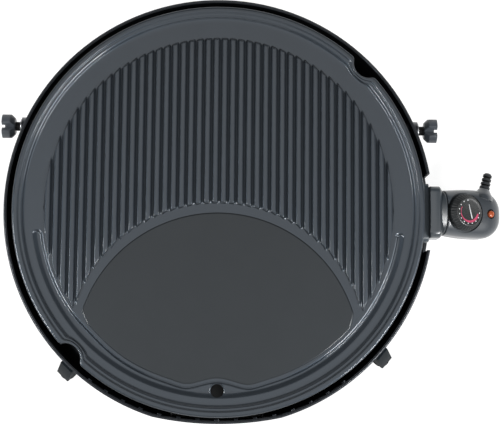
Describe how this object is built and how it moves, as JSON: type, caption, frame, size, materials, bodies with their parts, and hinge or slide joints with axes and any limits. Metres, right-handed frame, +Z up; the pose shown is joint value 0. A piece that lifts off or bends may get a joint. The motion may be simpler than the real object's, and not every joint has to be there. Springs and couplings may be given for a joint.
{
  "type": "round electric table grill",
  "caption": "Round electric table grill with a ribbed cast plate, fat gutter and drain, plug-in thermostat controller, splayed feet, drip drawer and side thumbscrews.",
  "frame": {"origin": "on the table under the centre of the grill plate", "axes": "+X towards the thermostat controller, +Y to the back, +Z up; the drain and the drawer are at the front, -Y"},
  "size_m": [0.5454, 0.4568, 0.0921],
  "materials": {
    "bowl": "satin moulded heat-proof plastic",
    "reflector": "bright rolled sheet",
    "screw_steel": "zinc-plated",
    "drawer": "satin",
    "foot": "fine-grained",
    "pad": "matt",
    "stud_steel": "zinc-plated",
    "washer": "bright zinc-plated",
    "grip": "satin",
    "plate": "dark non-stick coating on cast aluminium",
    "element": "heat-darkened",
    "clip": "plain sheet",
    "pin": "nickel-plated",
    "ceramic": null,
    "guard": "fine-grained",
    "nose": "matt heat-proof plastic",
    "contact": "plain",
    "probe": "polished stainless tube",
    "collar": "satin",
    "shell": "satin",
    "lower_shell": "satin",
    "switch": "phenolic",
    "shaft": "plain",
    "dial": null,
    "lens": "orange translucent plastic",
    "neon": "small glass lamp",
    "relief": "ringed"
  },
  "bodies": {
    "base": {"base_bowl": "bowl", "heat_reflector": "reflector", "reflector_screws": "screw_steel", "foot_front_left": "foot", "foot_front_right": "foot", "foot_rear_left": "foot", "foot_rear_right": "foot", "pad_front_left": "pad", "pad_front_right": "pad", "pad_rear_left": "pad", "pad_rear_right": "pad", "foot_screws": "screw_steel", "left_clamp_nut": "stud_steel", "right_clamp_nut": "stud_steel"},
    "drawer": {"drip_drawer": "drawer"},
    "left_washer": {"left_clamp_washer": "washer"},
    "left_knob": {"left_clamp_stud": "stud_steel", "left_clamp_grip": "grip"},
    "right_washer": {"right_clamp_washer": "washer"},
    "right_knob": {"right_clamp_stud": "stud_steel", "right_clamp_grip": "grip"},
    "plate": {"grill_plate": "plate", "heating_element": "element", "element_clips": "clip", "clip_screws": "screw_steel", "terminal_pins": "pin", "ceramic_insulators": "ceramic", "socket_guard": "guard", "guard_screws": "screw_steel"},
    "controller": {"controller_nose": "nose", "socket_contacts": "contact", "probe_rod": "probe", "controller_collar": "collar", "controller_upper_shell": "shell", "controller_lower_shell": "lower_shell", "controller_screws": "screw_steel", "thermostat_switch": "switch", "indicator_lens": "lens", "neon_lamp": "neon", "strain_relief": "relief"},
    "dial": {"temperature_dial": "dial", "dial_shaft": "shaft"}
  },
  "joints": [
    {"name": "drawer_slide", "type": "slide", "parent": "base", "child": "drawer", "axis": [0, -1, 0], "range_m": [0, 0.09]},
    {"name": "plate_lift", "type": "slide", "parent": "base", "child": "plate", "axis": [0, 0, 1], "range_m": [0, 0.12]},
    {"name": "controller_unplug", "type": "slide", "parent": "plate", "child": "controller", "axis": [1, 0, 0], "range_m": [0, 0.07]},
    {"name": "dial_turn", "type": "hinge", "parent": "controller", "child": "dial", "pos_m": [0.26488, 0, 0.07808], "axis": [0.3746, 0, 0.9272], "range_deg": [-270, 0]},
    {"name": "left_screw_travel", "type": "slide", "parent": "base", "child": "left_washer", "axis": [-1, 0, 0], "range_m": [0, 0.0041]},
    {"name": "left_screw_turn", "type": "hinge", "parent": "left_washer", "child": "left_knob", "pos_m": [-0.2254, 0.092, 0.056], "axis": [-1, 0, 0], "range_deg": [0, 1440]},
    {"name": "right_screw_travel", "type": "slide", "parent": "base", "child": "right_washer", "axis": [1, 0, 0], "range_m": [0, 0.0041]},
    {"name": "right_screw_turn", "type": "hinge", "parent": "right_washer", "child": "right_knob", "pos_m": [0.2254, 0.092, 0.056], "axis": [1, 0, 0], "range_deg": [0, 1440]}
  ],
  "couplings": [
    {"joint": "left_screw_travel", "follows": "left_screw_turn", "m_per_rad": 0.00015915},
    {"joint": "right_screw_travel", "follows": "right_screw_turn", "m_per_rad": 0.00015915}
  ]
}
